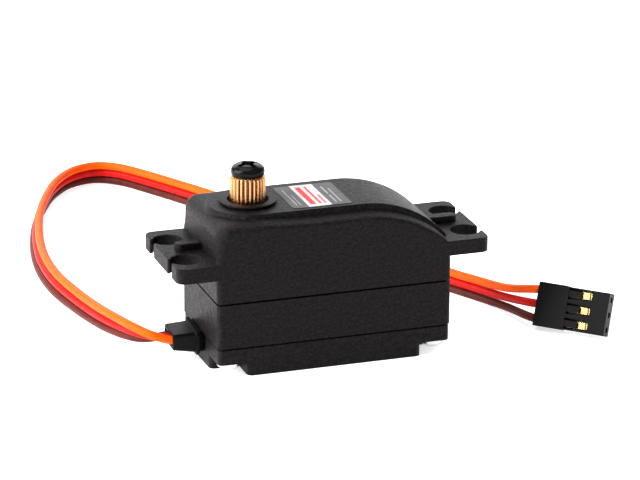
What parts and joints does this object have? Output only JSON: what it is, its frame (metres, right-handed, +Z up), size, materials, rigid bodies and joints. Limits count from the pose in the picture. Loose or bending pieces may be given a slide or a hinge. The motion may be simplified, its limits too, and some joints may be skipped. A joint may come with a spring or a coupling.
{
  "type": "servo motor",
  "caption": "Low-profile robotics servo motor: moulded case with mounting ears, splined output shaft, gear train, motor, circuit board and three-wire cable with plug.",
  "frame": {"origin": "floor plane, under the centre of the case", "axes": "+X along the long side towards the motor end, +Y towards the back, +Z up the output shaft"},
  "size_m": [0.086, 0.1068, 0.0334],
  "materials": {
    "case_nylon": "fine moulded grain",
    "screw_steel": "nickel plated",
    "label_film": "printed film",
    "grommet_rubber": "moulded",
    "spline_brass": "machined",
    "black_steel": "black oxide",
    "gear_steel": "machined",
    "polished_steel": "ground",
    "bronze": "sintered",
    "motor_steel": "drawn",
    "magnet": "sintered",
    "copper": "wound and stamped",
    "moulded_black": "moulded",
    "pot_blue": "moulded",
    "carbon_track": "printed",
    "tinned": "tinned",
    "board_green": "solder mask",
    "capacitor_tan": "moulded",
    "wire_orange": "silicone",
    "wire_red": "silicone",
    "wire_brown": "silicone",
    "contact_gold": "gold plated"
  },
  "bodies": {
    "case": {"top_case": "case_nylon", "middle_case": "case_nylon", "bottom_cover": "case_nylon", "case_screws": "screw_steel", "top_label": "label_film", "cable_grommet": "grommet_rubber", "bearing_outer_ring": "polished_steel", "lower_bush": "bronze", "idler_pin": "polished_steel", "idler_washer_1": "polished_steel", "idler_washer_2": "polished_steel", "motor_can": "motor_steel", "motor_end_cap": "moulded_black", "motor_magnet": "magnet", "motor_front_bush": "bronze", "motor_rear_bush": "bronze", "motor_brushes": "copper", "motor_terminals": "copper", "motor_screws": "screw_steel", "pot_housing": "pot_blue", "pot_track": "carbon_track", "pot_terminals": "tinned", "circuit_board": "board_green", "microcontroller": "moulded_black", "motor_driver": "moulded_black", "voltage_regulator": "moulded_black", "filter_capacitor": "capacitor_tan", "resonator": "tinned", "signal_wire": "wire_orange", "power_wire": "wire_red", "ground_wire": "wire_brown", "plug_housing": "moulded_black", "plug_contact_1": "contact_gold", "plug_contact_2": "contact_gold", "plug_contact_3": "contact_gold"},
    "output": {"output_shaft": "spline_brass", "output_gear": "gear_steel", "horn_screw": "black_steel", "pot_wiper": "copper", "gear_2_clip": "polished_steel", "bearing_inner_ring": "polished_steel"},
    "first_gear": {"gear_1": "gear_steel"},
    "second_gear": {"gear_2": "gear_steel"},
    "third_gear": {"gear_3": "gear_steel"},
    "rotor": {"rotor_coil": "copper", "rotor_shaft": "polished_steel", "commutator": "copper", "motor_pinion": "bronze"},
    "ball_cage": {"bearing_balls": "polished_steel"}
  },
  "joints": [
    {"name": "rotor_turn", "type": "hinge", "parent": "case", "child": "rotor", "pos_m": [0.0079, 0, 0.01], "axis": [0, 0, 1], "range_deg": [-3085.7, 3085.7]},
    {"name": "first_gear_turn", "type": "hinge", "parent": "case", "child": "first_gear", "pos_m": [-0.002, 0, 0.018], "axis": [0, 0, 1], "range_deg": [-687.3, 687.3]},
    {"name": "second_gear_turn", "type": "hinge", "parent": "case", "child": "second_gear", "pos_m": [-0.012, 0, 0.0198], "axis": [0, 0, 1], "range_deg": [-386.7, 386.7]},
    {"name": "third_gear_turn", "type": "hinge", "parent": "case", "child": "third_gear", "pos_m": [-0.002, 0, 0.0218], "axis": [0, 0, 1], "range_deg": [-150.5, 150.5]},
    {"name": "output_turn", "type": "hinge", "parent": "case", "child": "output", "pos_m": [-0.012, 0, 0.027], "axis": [0, 0, 1], "range_deg": [-90, 90]},
    {"name": "ball_cage_turn", "type": "hinge", "parent": "case", "child": "ball_cage", "pos_m": [-0.012, 0, 0.02505], "axis": [0, 0, 1], "range_deg": [-38.1, 38.1]}
  ],
  "couplings": [
    {"joint": "first_gear_turn", "follows": "rotor_turn", "ratio": -0.22222},
    {"joint": "second_gear_turn", "follows": "rotor_turn", "ratio": 0.125},
    {"joint": "third_gear_turn", "follows": "rotor_turn", "ratio": -0.048611},
    {"joint": "output_turn", "follows": "rotor_turn", "ratio": 0.029167},
    {"joint": "ball_cage_turn", "follows": "rotor_turn", "ratio": 0.01225}
  ]
}
